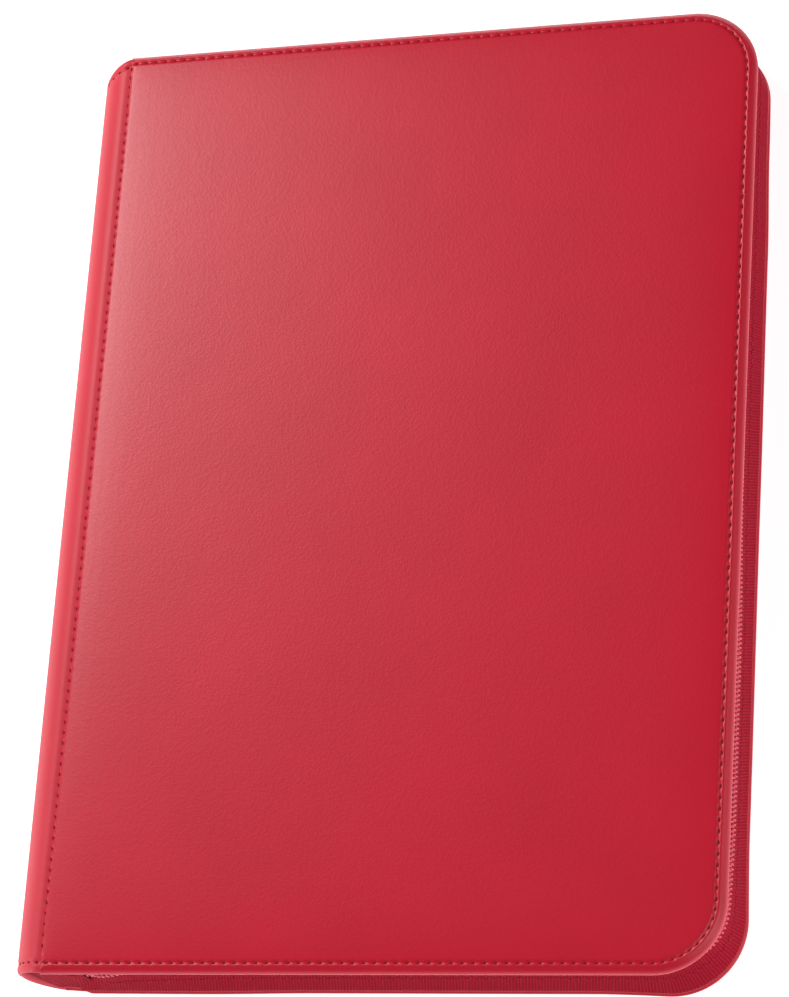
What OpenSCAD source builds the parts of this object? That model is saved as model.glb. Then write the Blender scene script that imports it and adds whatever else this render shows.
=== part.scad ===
// Zip-around trading card binder, lying closed on its back cover.
// +X runs from the spine to the opening edge, +Y to the binder's top and +Z up through the front cover.
// The origin is the middle of the back cover's outer face. Millimetres.

/* [Binder] */
// Height of the binder, bottom edge to top edge
binder_h = 345; // [335:1:360]
// Width of the closed binder, outside of the spine to the opening edge
binder_w = 250; // [248:1:265]
// Thickness of the closed binder
binder_t = 29; // [29:1:32]
// Corner radius of both covers at the opening edge
corner_r = 24; // [16:1:30]
// Corner radius at the two ends of the spine
spine_corner_r = 9; // [6:1:12]

/* [Cover layers] */
// Thickness of the leather-look skin
skin_t = 0.8; // [0.6:0.1:1]
// Width of the skin where it wraps round a cover's edge
wrap_t = 0.9; // [0.7:0.1:1.2]
// Thickness of the foam padding
foam_t = 1.4; // [1:0.1:1.8]
// Thickness of the stiff board
board_t = 1.9; // [1.5:0.1:2.2]
// Thickness of the lining cloth
lining_t = 0.4; // [0.3:0.1:0.5]
// Distance from the spine's bend to the boards' edge
board_setback = 1; // [0.8:0.1:2]

/* [Spine] */
// Angle that the spine piece covers to each side of its middle
spine_half_angle = 45; // [44:1:46]
// Gap between the spine and each cover at the fold lines
fold_gap = 0.3; // [0.2:0.05:0.5]
// Thickness of the strip that the pages are bound to
binding_t = 1; // [0.6:0.1:1.1]
// Angle that the binding strip covers to each side of the spine's middle
binding_half_angle = 38; // [30:1:40]

/* [Gusset and zip] */
// Distance from the cover's edge to the gusset's outer face
gusset_inset = 1.2; // [1:0.1:1.4]
// Thickness of the ribbed gusset cloth
gusset_t = 0.9; // [0.6:0.1:1]
// Height of the gusset above the back cover's lining
gusset_h = 10; // [9:0.5:10]
// Distance from the cover's edge to the zip's middle plane
chain_inset = 1.7; // [1.6:0.1:1.8]
// Height of the zip's meeting line above the back face
chain_z = 19.5; // [19.5:0.1:20]
// Thickness of the zip's tapes
tape_t = 0.5; // [0.4:0.1:0.6]
// Thickness of the nylon coils
coil_t = 1.8; // [1.6:0.1:2]
// Width of each nylon coil
coil_w = 2; // [1.8:0.1:2.1]
// Gap between the two coils' backbones
coil_gap = 1.6; // [1.5:0.1:1.8]
// Distance from the spine's outside to the gusset's and zip's sewn ends
zip_start = 15; // [14:0.5:17]
// Distance from the spine's outside to the free start of the front tape
front_tape_start = 40; // [40:0.5:45]

/* [Slider] */
// Length of the slider's body along the zip
slider_l = 12; // [11:0.5:12]
// Width of the slider's body across the zip
slider_w = 8; // [8:0.1:8.4]
// Thickness of each of the slider's two plates
slider_plate_t = 0.9; // [0.7:0.1:1]
// Space between the slider's two plates
slider_channel = 2.6; // [2.4:0.1:2.8]
// Length of the pull tab from its bar to its end
pull_l = 24; // [18:1:30]
// Thickness of the pull tab and its bar
pull_t = 0.9; // [0.8:0.05:0.95]

/* [Pages] */
// Number of pocket pages
page_count = 20; // [10:2:20]
// Width of a page from its bound edge
page_w = 222; // [215:1:226]
// Height of a page
page_h = 295; // [285:1:300]
// Thickness of an empty page
page_t = 0.65; // [0.5:0.05:0.7]
// Distance from the spine's outside to the pages' bound edge
page_start = 8; // [7.8:0.1:9]
// Width of one card pocket
pocket_w = 68; // [66:1:69]
// Height of one card pocket
pocket_h = 93; // [90:1:94]
// Depth that a pocket's film is set in below the page's welded border
pocket_depth = 0.1; // [0.05:0.05:0.15]

/* [Hidden] */
$fn = 96;
function two_digits(i) = i < 10 ? str("0", i) : str(i);
function page_name(i) = str("page_", two_digits(i));

cover_t = skin_t + foam_t + board_t + lining_t;
left_x = -binder_w / 2;
right_x = binder_w / 2;
spine_r = binder_t / 2;
spine_x = left_x + spine_r;
board_x = spine_x + board_setback;
fold_gap_angle = fold_gap / 2 / spine_r * 180 / PI;
big = 2 * binder_h;

gusset_top = cover_t + gusset_h;
chain_y = binder_h / 2 - chain_inset;
coil_back_z = chain_z - coil_gap / 2 - coil_w;
coil_front_z = chain_z + coil_gap / 2;
coil_top_z = coil_front_z + coil_w;
lid_gap = 0.3;
end_tab_top = binder_t - cover_t - lid_gap;
stop_l = 1.1;
stop_overhang = 0.3;
end_tab_l = 8;
stop_x = left_x + zip_start + end_tab_l;
tape_x = stop_x + stop_l;
front_x = left_x + front_tape_start;
stub_gap = 1;

slider_x = tape_x + lid_gap + slider_l / 2;
slider_flange_t = 0.8;
slider_slot = 1.2;
slider_post_l = 3.5;
slider_post_w = 1.1;
slider_tail = 1.2;
slider_outer_y = chain_y + slider_channel / 2 + slider_plate_t;
bridge_l = 7;
bridge_w = 1.6;
bridge_h = 2.2;
bridge_gap = 0.2;
bridge_wall = 1.4;
bridge_chamfer = 0.7;
pull_y = slider_outer_y + bridge_gap + pull_t / 2;
pull_arm_inner = 1.1;
pull_arm_outer = 2;
pull_neck = 4.6;
pull_shoulder = 7;
pull_half_w = 3.6;
pull_chamfer = 1.2;

page_x = left_x + page_start;
page_margin_z = 0.65;
page_pitch = (binder_t - 2 * cover_t - 2 * page_margin_z - page_t) / (page_count - 1);
page_corner = 3;
pocket_cols = 3;
pocket_rows = 3;
page_bind_margin = 11;
pocket_pitch_x = (page_w - page_bind_margin) / pocket_cols;
pocket_pitch_y = page_h / pocket_rows;
function page_z(i) = cover_t + page_margin_z + (i - 1) * page_pitch;

// Plan outline of the whole binder, drawn in by an inset
module plan_outline(inset) {
    half_h = binder_h / 2 - inset;
    x0 = left_x + inset;
    x1 = right_x - inset;
    r0 = spine_corner_r - inset;
    r1 = corner_r - inset;
    translate([x0 + r0, -half_h])
        square([x1 - r1 - x0 - r0, 2 * half_h]);
    translate([x0, r0 - half_h])
        square([r0, 2 * (half_h - r0)]);
    translate([x1 - r1, r1 - half_h])
        square([r1, 2 * (half_h - r1)]);
    for (side = [-1, 1]) {
        translate([x0 + r0, side * (half_h - r0)])
            circle(r0);
        translate([x1 - r1, side * (half_h - r1)])
            circle(r1);
    }
}

// A flat layer between two heights, from one x to the opening edge
module flat_layer(from_x, z0, z1, inset) {
    intersection() {
        translate([0, 0, z0])
            linear_extrude(z1 - z0)
                plan_outline(inset);
        translate([from_x, -big / 2, z0])
            cube([big, big, z1 - z0]);
    }
}

// A band standing on edge along the top, opening and bottom edges
module edge_band(from_x, z0, z1, inset, thickness) {
    intersection() {
        translate([0, 0, z0])
            linear_extrude(z1 - z0)
                difference() {
                    plan_outline(inset);
                    plan_outline(inset + thickness);
                }
        translate([from_x, -big / 2, z0])
            cube([big, big, z1 - z0]);
    }
}

// A curved layer round the spine's axis, between two radii and two angles
module spine_layer(r_in, r_out, angle0, angle1, inset) {
    reach = 3 * r_out;
    intersection() {
        translate([spine_x, 0, spine_r])
            rotate([90, 0, 0])
                linear_extrude(binder_h, center = true)
                    intersection() {
                        difference() {
                            circle(r_out);
                            circle(r_in);
                        }
                        polygon([
                            [0, 0],
                            reach * [cos(angle0), sin(angle0)],
                            reach * [cos(angle1), sin(angle1)]
                        ]);
                    }
        linear_extrude(binder_t)
            plan_outline(inset);
    }
}

// The part of a spine layer that belongs to the back cover
module cover_bend(r_in, r_out, inset) {
    spine_layer(r_in, r_out, 180 + spine_half_angle + fold_gap_angle, 270, inset);
}

// The part of a spine layer that belongs to the spine itself
module spine_bend(r_in, r_out, inset) {
    half = spine_half_angle - fold_gap_angle;
    spine_layer(r_in, r_out, 180 - half, 180 + half, inset);
}

// Turns a back cover layer into the front cover's
module as_front() {
    translate([0, 0, binder_t])
        mirror([0, 0, 1])
            children();
}

module cover_skin() {
    flat_layer(spine_x, 0, skin_t, 0);
    edge_band(board_x, 0, cover_t, 0, wrap_t);
    cover_bend(spine_r - skin_t, spine_r, 0);
}

module cover_foam() {
    flat_layer(spine_x, skin_t, skin_t + foam_t, wrap_t);
    cover_bend(spine_r - skin_t - foam_t, spine_r - skin_t, wrap_t);
}

module cover_board() {
    flat_layer(board_x, skin_t + foam_t, cover_t - lining_t, wrap_t);
}

module cover_lining() {
    fold_z = skin_t + foam_t;
    flat_layer(board_x - lining_t, cover_t - lining_t, cover_t, wrap_t);
    intersection() {
        flat_layer(spine_x, fold_z, cover_t, wrap_t);
        union() {
            translate([spine_x, -big / 2, fold_z])
                cube([board_setback, big, lining_t]);
            translate([board_x - lining_t, -big / 2, fold_z])
                cube([lining_t, big, cover_t - fold_z]);
        }
    }
    cover_bend(spine_r - fold_z - lining_t, spine_r - fold_z, wrap_t);
}

module back_cover_skin() {
    color("#c8404c")
        cover_skin();
}

module back_foam_pad() {
    color("#e8e2d6")
        cover_foam();
}

module back_board() {
    color("#8d7b66")
        cover_board();
}

module back_lining() {
    color("#1d1c1f")
        cover_lining();
}

module front_cover_skin() {
    color("#c8404c")
        as_front()
            cover_skin();
}

module front_foam_pad() {
    color("#e8e2d6")
        as_front()
            cover_foam();
}

module front_board() {
    color("#8d7b66")
        as_front()
            cover_board();
}

module front_lining() {
    color("#1d1c1f")
        as_front()
            cover_lining();
}

module spine_skin() {
    color("#dd5a62")
        spine_bend(spine_r - skin_t, spine_r, 0);
}

module spine_foam_pad() {
    color("#e8e2d6")
        spine_bend(spine_r - skin_t - foam_t, spine_r - skin_t, wrap_t);
}

module spine_lining() {
    inner = spine_r - skin_t - foam_t;
    color("#1d1c1f")
        spine_bend(inner - lining_t, inner, wrap_t);
}

module page_binding_strip() {
    outer = spine_r - skin_t - foam_t - lining_t;
    color("#2b2a2e")
        intersection() {
            spine_layer(outer - binding_t, outer, 180 - binding_half_angle,
                180 + binding_half_angle, wrap_t);
            translate([left_x, -page_h / 2, 0])
                cube([binder_w, page_h, binder_t]);
        }
}

module gusset() {
    color("#8c1c30")
        edge_band(left_x + zip_start, cover_t, gusset_top, gusset_inset, gusset_t);
}

module zip_tape_back() {
    color("#a3243a")
        edge_band(tape_x, gusset_top, coil_back_z, chain_inset - tape_t / 2, tape_t);
}

module zip_coil_back() {
    color("#e0506a")
        edge_band(tape_x, coil_back_z, coil_back_z + coil_w, chain_inset - coil_t / 2, coil_t);
}

module zip_tape_front() {
    color("#a3243a")
        edge_band(front_x, coil_top_z, binder_t - cover_t, chain_inset - tape_t / 2, tape_t);
}

module zip_coil_front() {
    color("#e0506a")
        edge_band(front_x, coil_front_z, coil_top_z, chain_inset - coil_t / 2, coil_t);
}

// The zip's sewn-down end on the top edge: cloth from the gusset up, with the front tape's short fixed length
module zip_end_tab() {
    x0 = left_x + zip_start;
    stub_l = front_x - stub_gap - stop_x;
    translate([x0, binder_h / 2 - gusset_inset - gusset_t, gusset_top])
        cube([end_tab_l, gusset_t, end_tab_top - gusset_top]);
    translate([stop_x, chain_y - tape_t / 2, coil_top_z])
        cube([stub_l, tape_t, end_tab_top - coil_top_z]);
    translate([tape_x, chain_y - coil_t / 2, coil_front_z])
        cube([stub_l - stop_l, coil_t, coil_w]);
}

module zip_end_tab_top() {
    color("#8c1c30")
        zip_end_tab();
}

module zip_end_tab_bottom() {
    color("#8c1c30")
        mirror([0, 1, 0])
            zip_end_tab();
}

// The stop crimped across both coils at an end of the zip
module zip_stop() {
    stop_t = coil_t + 2 * stop_overhang;
    translate([stop_x, chain_y - stop_t / 2, coil_back_z])
        cube([stop_l, stop_t, coil_top_z - coil_back_z]);
}

module zip_stop_top() {
    color("#b9b9bd")
        zip_stop();
}

module zip_stop_bottom() {
    color("#b9b9bd")
        mirror([0, 1, 0])
            zip_stop();
}

// One plate of the slider, wide at its mouth and narrower at its tail
module slider_plate(y0) {
    half_l = slider_l / 2;
    half_w = slider_w / 2;
    translate([slider_x, y0, chain_z])
        rotate([90, 0, 0])
            mirror([0, 0, 1])
                linear_extrude(slider_plate_t)
                    polygon([
                        [-half_l, -half_w + slider_tail], [-half_l + slider_tail, -half_w],
                        [half_l - slider_tail, -half_w], [half_l, -half_w + slider_tail],
                        [half_l, half_w - slider_tail], [half_l - slider_tail, half_w],
                        [-half_l + slider_tail, half_w], [-half_l, half_w - slider_tail]
                    ]);
}

module zip_slider_body() {
    half_channel = slider_channel / 2;
    flange_l = slider_l - 2 * slider_tail;
    flange_h = half_channel - slider_slot / 2;
    color("#c9c9ce") {
        slider_plate(chain_y + half_channel);
        slider_plate(chain_y - half_channel - slider_plate_t);
        for (side_z = [-slider_w / 2, slider_w / 2 - slider_flange_t])
            for (side_y = [-half_channel, half_channel - flange_h])
                translate([slider_x - flange_l / 2, chain_y + side_y, chain_z + side_z])
                    cube([flange_l, flange_h, slider_flange_t]);
        translate([slider_x - slider_l / 2 + slider_tail / 2, chain_y - half_channel, chain_z - slider_post_w / 2])
            cube([slider_post_l, slider_channel, slider_post_w]);
    }
}

// The arch on the slider's outer plate that holds the pull
module zip_slider_bridge() {
    half_l = bridge_l / 2;
    opening_l = bridge_l - 2 * bridge_wall;
    opening_h = pull_t + 2 * bridge_gap;
    color("#c9c9ce")
        translate([slider_x, slider_outer_y, chain_z - bridge_w / 2])
            linear_extrude(bridge_w)
                difference() {
                    polygon([
                        [-half_l, 0], [half_l, 0],
                        [half_l, bridge_h - bridge_chamfer], [half_l - bridge_chamfer, bridge_h],
                        [-half_l + bridge_chamfer, bridge_h], [-half_l, bridge_h - bridge_chamfer]
                    ]);
                    translate([-opening_l / 2, 0])
                        square([opening_l, opening_h]);
                }
}

// The pull: a round bar under the bridge, two arms beside it and a flat grip
module zip_pull_tab() {
    color("#c9c9ce")
        translate([slider_x, pull_y, chain_z]) {
            cylinder(h = 2 * pull_arm_outer, d = pull_t, center = true);
            for (arm_z = [-pull_arm_outer, pull_arm_inner])
                translate([0, -pull_t / 2, arm_z])
                    cube([pull_neck, pull_t, pull_arm_outer - pull_arm_inner]);
            rotate([90, 0, 0])
                linear_extrude(pull_t, center = true)
                    polygon([
                        [pull_neck, -pull_arm_outer], [pull_shoulder, -pull_half_w],
                        [pull_l - pull_chamfer, -pull_half_w], [pull_l, -pull_half_w + pull_chamfer],
                        [pull_l, pull_half_w - pull_chamfer], [pull_l - pull_chamfer, pull_half_w],
                        [pull_shoulder, pull_half_w], [pull_neck, pull_arm_outer]
                    ]);
        }
}

// One pocket page: a backing sheet with three rows of three side-loading pockets welded to each face
module card_page(i) {
    color("#2a2a2e")
        translate([page_x, 0, page_z(i)])
            difference() {
                linear_extrude(page_t)
                    polygon([
                        [0, -page_h / 2], [page_w - page_corner, -page_h / 2],
                        [page_w, page_corner - page_h / 2], [page_w, page_h / 2 - page_corner],
                        [page_w - page_corner, page_h / 2], [0, page_h / 2]
                    ]);
                for (col = [0 : pocket_cols - 1])
                    for (row = [0 : pocket_rows - 1])
                        for (z = [-pocket_depth, page_t - pocket_depth])
                            translate([
                                page_bind_margin + (col + 0.5) * pocket_pitch_x - pocket_w / 2,
                                (row + 0.5) * pocket_pitch_y - page_h / 2 - pocket_h / 2,
                                z
                            ])
                                cube([pocket_w, pocket_h, 2 * pocket_depth]);
            }
}

back_cover_skin();
back_foam_pad();
back_board();
back_lining();
front_cover_skin();
front_foam_pad();
front_board();
front_lining();
spine_skin();
spine_foam_pad();
spine_lining();
page_binding_strip();
gusset();
zip_tape_back();
zip_coil_back();
zip_tape_front();
zip_coil_front();
zip_end_tab_top();
zip_end_tab_bottom();
zip_stop_top();
zip_stop_bottom();
zip_slider_body();
zip_slider_bridge();
zip_pull_tab();
for (i = [1 : page_count])
    card_page(i);
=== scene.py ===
"""The looks of a zip-around trading card binder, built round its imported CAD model.

Lengths are in millimetres until a mesh is made, which turns them into metres. The frame is the CAD's:
the binder lies closed on its back cover, +X runs from the spine to the opening edge, +Y to its top edge
and +Z up.
"""

import math

import bmesh
import bpy
import numpy as np
from mathutils import Matrix, Vector


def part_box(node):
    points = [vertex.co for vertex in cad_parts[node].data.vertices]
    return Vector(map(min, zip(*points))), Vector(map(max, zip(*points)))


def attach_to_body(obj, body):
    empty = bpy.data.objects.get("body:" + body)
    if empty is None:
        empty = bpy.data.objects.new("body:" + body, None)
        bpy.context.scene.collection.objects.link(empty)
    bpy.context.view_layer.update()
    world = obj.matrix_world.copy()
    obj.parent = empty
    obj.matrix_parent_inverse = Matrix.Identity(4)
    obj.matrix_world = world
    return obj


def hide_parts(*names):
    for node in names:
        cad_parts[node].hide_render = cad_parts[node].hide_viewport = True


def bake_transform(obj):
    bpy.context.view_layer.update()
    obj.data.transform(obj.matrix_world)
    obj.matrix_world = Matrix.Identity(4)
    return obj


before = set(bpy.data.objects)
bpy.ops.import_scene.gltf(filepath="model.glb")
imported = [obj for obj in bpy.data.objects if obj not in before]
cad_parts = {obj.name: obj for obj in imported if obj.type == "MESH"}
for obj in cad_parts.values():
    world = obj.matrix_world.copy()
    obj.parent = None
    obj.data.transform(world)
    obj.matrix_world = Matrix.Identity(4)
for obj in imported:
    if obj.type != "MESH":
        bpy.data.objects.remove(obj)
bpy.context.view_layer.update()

MM = 0.001


# ---------------------------------------------------------------- sizes from the frame

def node_box(node):
    """A CAD node's lowest and highest corners, in millimetres."""
    low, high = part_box(node)
    return np.array(low) / MM, np.array(high) / MM


LEFT = node_box("spine_skin")[0][0]
RIGHT, HALF_H, THICK = node_box("front_cover_skin")[1]
COVER_Z = node_box("zip_tape_front")[1][2]
SPINE_R = THICK / 2
SPINE_X = LEFT + SPINE_R
CORNER_R = 24.0
STITCH_INSET = 3.5
BOARD_INSET = HALF_H - node_box("back_board")[1][1]
STITCH_X = SPINE_X + 0.2
FRONT_TAPE_X = node_box("zip_tape_front")[0][0]
ZIP_X = node_box("zip_tape_back")[0][0]
CHAIN_Z = (node_box("zip_coil_back")[1][2] + node_box("zip_coil_front")[0][2]) / 2
CHAIN_INSET = 1.7
SPINE_WALL = 2.6

# The edge path runs from the stitch line along the top, round both corners and back along the bottom
TOP_L = RIGHT - CORNER_R - STITCH_X
ARC_L = math.pi / 2 * CORNER_R
SIDE_L = 2 * (HALF_H - CORNER_R)
TOTAL_L = 2 * TOP_L + 2 * ARC_L + SIDE_L
SIDE_S = TOP_L + ARC_L
MID_S = TOTAL_L / 2
LOW_S = SIDE_S + SIDE_L
BOTTOM_S = TOTAL_L - TOP_L
STITCHES = 212
PITCH = TOTAL_L / STITCHES
STEP = PITCH / 4


# ---------------------------------------------------------------- mesh helpers

def edge(s):
    """Points and outward normals of the covers' outline at lengths s along the edge path."""
    s = np.asarray(s, float)
    cx, cy = RIGHT - CORNER_R, HALF_H - CORNER_R
    a1 = (s - TOP_L) / CORNER_R
    a2 = (s - TOP_L - ARC_L - SIDE_L) / CORNER_R
    where = [s <= TOP_L, s <= TOP_L + ARC_L, s <= TOP_L + ARC_L + SIDE_L, s <= TOTAL_L - TOP_L]
    one, zero = np.ones_like(s), np.zeros_like(s)
    nx = np.select(where, [zero, np.sin(a1), one, np.cos(a2)], zero)
    ny = np.select(where, [one, np.cos(a1), zero, -np.sin(a2)], -one)
    px = np.select(where, [STITCH_X + s, cx + zero, cx + zero, cx + zero], STITCH_X + TOTAL_L - s)
    py = np.select(where, [cy + zero, cy + zero, cy - (s - TOP_L - ARC_L), -cy + zero], -cy + zero)
    return np.stack([px + nx * CORNER_R, py + ny * CORNER_R], -1), np.stack([nx, ny], -1)


def grid_faces(columns, rows, closed=False, first=0):
    """Quads of a grid whose vertex (c, r) has the index first + c * rows + r.

    closed joins the last row to the first.
    """
    c, r = np.meshgrid(np.arange(columns - 1), np.arange(rows if closed else rows - 1), indexing="ij")
    up = (r + 1) % rows
    quads = np.stack([c * rows + r, (c + 1) * rows + r, (c + 1) * rows + up, c * rows + up], -1)
    return (quads.reshape(-1, 4) + first).tolist()


def make(name, verts, faces, material, along=None, tint=None, weld=False, smooth=True):
    """A mesh object from points in millimetres. The materials read the point attributes along and tint."""
    mesh = bpy.data.meshes.new(name)
    verts = np.asarray(verts, float).reshape(-1, 3)
    mesh.from_pydata((verts * MM).tolist(), [], faces)
    if along is not None:
        held = mesh.attributes.new("along", "FLOAT_VECTOR", "POINT")
        held.data.foreach_set("vector", np.asarray(along, np.float32).ravel())
    if tint is not None:
        held = mesh.attributes.new("tint", "FLOAT", "POINT")
        held.data.foreach_set("value", np.asarray(tint, np.float32).ravel())
    bm = bmesh.new()
    bm.from_mesh(mesh)
    if weld:
        bmesh.ops.remove_doubles(bm, verts=bm.verts, dist=0.01 * MM)
    bmesh.ops.recalc_face_normals(bm, faces=bm.faces)
    bm.to_mesh(mesh)
    bm.free()
    mesh.polygons.foreach_set("use_smooth", [smooth] * len(mesh.polygons))
    mesh.materials.append(material)
    piece = bpy.data.objects.new(name, mesh)
    bpy.context.scene.collection.objects.link(piece)
    return piece


def place(piece, body, replaces=()):
    """Hangs a piece on one body; given two, it only bakes the piece's transform into its mesh.

    body is a name, or (a, b, start, end) with the two points in millimetres; the tuple's bodies and points
    are not used.
    """
    if isinstance(body, str):
        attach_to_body(piece, body)
    else:
        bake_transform(piece)
    if replaces:
        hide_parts(*replaces)
    return piece


def flip_z(verts):
    """The front cover's points turned into the back cover's."""
    turned = np.array(verts, float).reshape(-1, 3)
    turned[:, 2] = THICK - turned[:, 2]
    return turned


def rods(centres, radii, axis_a, axis_b, sides=6):
    """Closed rods of round section.

    centres is (rods, rings, 3), radii is (rings,), axis_a and axis_b are the (rods, 3) directions across.
    """
    count, rings, _ = centres.shape
    angle = np.arange(sides) * 2 * math.pi / sides
    ring = axis_a[:, None, None, :] * np.cos(angle)[None, None, :, None]
    ring = ring + axis_b[:, None, None, :] * np.sin(angle)[None, None, :, None]
    verts = centres[:, :, None, :] + ring * np.asarray(radii)[None, :, None, None]
    faces = []
    for k in range(count):
        first = k * rings * sides
        faces += grid_faces(rings, sides, closed=True, first=first)
        faces.append([first + i for i in range(sides)][::-1])
        faces.append([first + (rings - 1) * sides + i for i in range(sides)])
    return verts.reshape(-1, 3), faces


def smooth_between(s, keys):
    """A smooth curve through (place, value) keys."""
    places, values = np.array(keys, float).T
    i = np.clip(np.searchsorted(places, s, side="right") - 1, 0, len(places) - 2)
    t = np.clip((s - places[i]) / (places[i + 1] - places[i]), 0, 1)
    t = t * t * (3 - 2 * t)
    return values[i] * (1 - t) + values[i + 1] * t


# ---------------------------------------------------------------- materials

def linear(r, g, b):
    """Linear colour from sRGB values of 0 to 255."""
    def one(c):
        c /= 255
        return c / 12.92 if c <= 0.04045 else ((c + 0.055) / 1.055) ** 2.4
    return one(r), one(g), one(b), 1.0


class Surface:
    """A Principled material and short ways to add the nodes that drive it."""

    def __init__(self, name, **values):
        self.material = bpy.data.materials.new(name)
        self.material.use_nodes = True
        self.tree = self.material.node_tree
        self.shader = self.tree.nodes["Principled BSDF"]
        for socket, value in values.items():
            self.shader.inputs[socket.replace("_", " ")].default_value = value

    def node(self, kind, inputs=(), **settings):
        made = self.tree.nodes.new("ShaderNode" + kind)
        for key, value in settings.items():
            setattr(made, key, value)
        for key, value in dict(inputs).items():
            if isinstance(value, bpy.types.NodeSocket):
                self.tree.links.new(value, made.inputs[key])
            else:
                made.inputs[key].default_value = value
        return made

    def math(self, operation, a, b=0.0):
        made = self.node("Math", operation=operation)
        for i, value in enumerate((a, b)):
            if isinstance(value, bpy.types.NodeSocket):
                self.tree.links.new(value, made.inputs[i])
            else:
                made.inputs[i].default_value = value
        return made.outputs[0]

    def place(self):
        return self.node("TexCoord").outputs["Object"]

    def along(self):
        held = self.node("Attribute", attribute_name="along").outputs["Vector"]
        split = self.node("SeparateXYZ", {"Vector": held})
        return split.outputs["X"], split.outputs["Y"], split.outputs["Z"]

    def tint(self):
        return self.node("Attribute", attribute_name="tint").outputs["Fac"]

    def noise(self, size_mm, detail=3.0, rough=0.5):
        return self.node("TexNoise", {"Vector": self.place(), "Scale": 1000 / size_mm, "Detail": detail,
                                      "Roughness": rough}).outputs["Fac"]

    def cells(self, size_mm):
        return self.node("TexVoronoi", {"Vector": self.place(), "Scale": 1000 / size_mm}).outputs["Distance"]

    def wave(self, value, period, phase=0.0):
        """0 to 1 and back over each period of a value."""
        turned = self.math("ADD", self.math("MULTIPLY", value, 2 * math.pi / period), phase)
        return self.math("ADD", self.math("MULTIPLY", self.math("SINE", turned), 0.5), 0.5)

    def mix(self, share, a, b):
        made = self.node("Mix", data_type="RGBA")
        for key, value in ((0, share), (6, a), (7, b)):
            if isinstance(value, bpy.types.NodeSocket):
                self.tree.links.new(value, made.inputs[key])
            else:
                made.inputs[key].default_value = value
        return made.outputs[2]

    def ramp(self, value, low, high):
        made = self.node("MapRange", {"Value": value, "To Min": low, "To Max": high})
        return made.outputs["Result"]

    def drive(self, socket, value):
        self.tree.links.new(value, self.shader.inputs[socket])

    def bump(self, *heights):
        """Each height is (value, depth in millimetres)."""
        normal = None
        for value, depth in heights:
            inputs = {"Height": value, "Distance": depth * MM, "Strength": 1.0}
            if normal is not None:
                inputs["Normal"] = normal
            normal = self.node("Bump", inputs).outputs["Normal"]
        self.drive("Normal", normal)


def leather(name, colour, rim_highlight_colour, specular, rough):
    """Coated leather-look skin: fine pebbled grain, a satin coat, and a painted highlight, a lighter red
    along the rim where tint is 1.
    """
    skin = Surface(name, Roughness=rough, Specular_IOR_Level=specular)
    cloudy = skin.noise(38.0, 2.0)
    speck = skin.noise(1.3, 4.0, 0.6)
    dark = tuple(c * 0.86 for c in colour[:3]) + (1.0,)
    light = tuple(min(1.0, c * 1.08) for c in colour[:3]) + (1.0,)
    base = skin.mix(skin.ramp(cloudy, 0.1, 0.9), dark, light)
    base = skin.mix(skin.math("MULTIPLY", speck, 0.16), base, dark)
    # painted highlight: mixed towards a lighter red along the rims where tint is 1
    base = skin.mix(skin.tint(), base, rim_highlight_colour)
    skin.drive("Base Color", base)
    skin.drive("Roughness", skin.ramp(speck, rough - 0.05, rough + 0.05))
    skin.bump((skin.cells(1.0), 0.02), (skin.noise(0.5, 3.0), 0.016), (skin.noise(9.0, 2.0), 0.03))
    return skin.material


def ribbed_cloth(name, colour, light, rib, weft):
    """Grosgrain: ribs across the strip, crossed by fine threads, with a painted highlight of the lighter
    colour on the rib and thread crests. along is (length, height, 0).
    """
    cloth = Surface(name, Roughness=0.85, Specular_IOR_Level=0.08, Sheen_Weight=0.04, Sheen_Roughness=0.5)
    cloth.shader.inputs["Sheen Tint"].default_value = light
    length, height, _ = cloth.along()
    ribs = cloth.wave(length, rib)
    shift = cloth.math("MULTIPLY", cloth.math("FLOOR", cloth.math("DIVIDE", length, rib)), math.pi)
    threads = cloth.math("ADD", cloth.math("MULTIPLY", height, 2 * math.pi / weft), shift)
    threads = cloth.math("ADD", cloth.math("MULTIPLY", cloth.math("SINE", threads), 0.5), 0.5)
    fuzz = cloth.noise(0.5, 3.0)
    crest_highlight = cloth.math("MULTIPLY", ribs, cloth.ramp(threads, 0.45, 1.0))
    share = cloth.math("MULTIPLY", crest_highlight, cloth.ramp(fuzz, 0.5, 1.0))
    # painted highlight: the crests of ribs and threads take the lighter colour; the ribs are also bumped
    cloth.drive("Base Color", cloth.mix(share, colour, light))
    cloth.bump((ribs, 0.12), (threads, 0.06), (fuzz, 0.05))
    return cloth.material


def twisted_thread(name, colour, light):
    """Sewing thread with a twist of about half a millimetre."""
    thread = Surface(name, Roughness=0.7, Specular_IOR_Level=0.15)
    twist = thread.noise(0.3, 2.0)
    thread.drive("Base Color", thread.mix(twist, colour, light))
    thread.bump((twist, 0.05))
    return thread.material


def nylon(name, colour, light):
    """Dyed nylon coil, half gloss."""
    coil = Surface(name, Roughness=0.34, Specular_IOR_Level=0.5, Subsurface_Weight=0.0)
    coil.drive("Base Color", coil.mix(coil.noise(2.5, 2.0), colour, light))
    coil.drive("Roughness", coil.ramp(coil.noise(0.8, 2.0), 0.26, 0.42))
    return coil.material


def woven(name, colour, light, size):
    """Plain fine cloth, woven at the given thread size."""
    cloth = Surface(name, Roughness=0.8, Sheen_Weight=0.2)
    where = cloth.node("SeparateXYZ", {"Vector": cloth.place()})
    across = cloth.wave(where.outputs["X"], size * MM)
    up = cloth.wave(where.outputs["Y"], size * MM)
    weave = cloth.math("MULTIPLY", across, up)
    cloth.drive("Base Color", cloth.mix(weave, colour, light))
    cloth.bump((weave, 0.08), (cloth.noise(0.7), 0.04))
    return cloth.material


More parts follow.
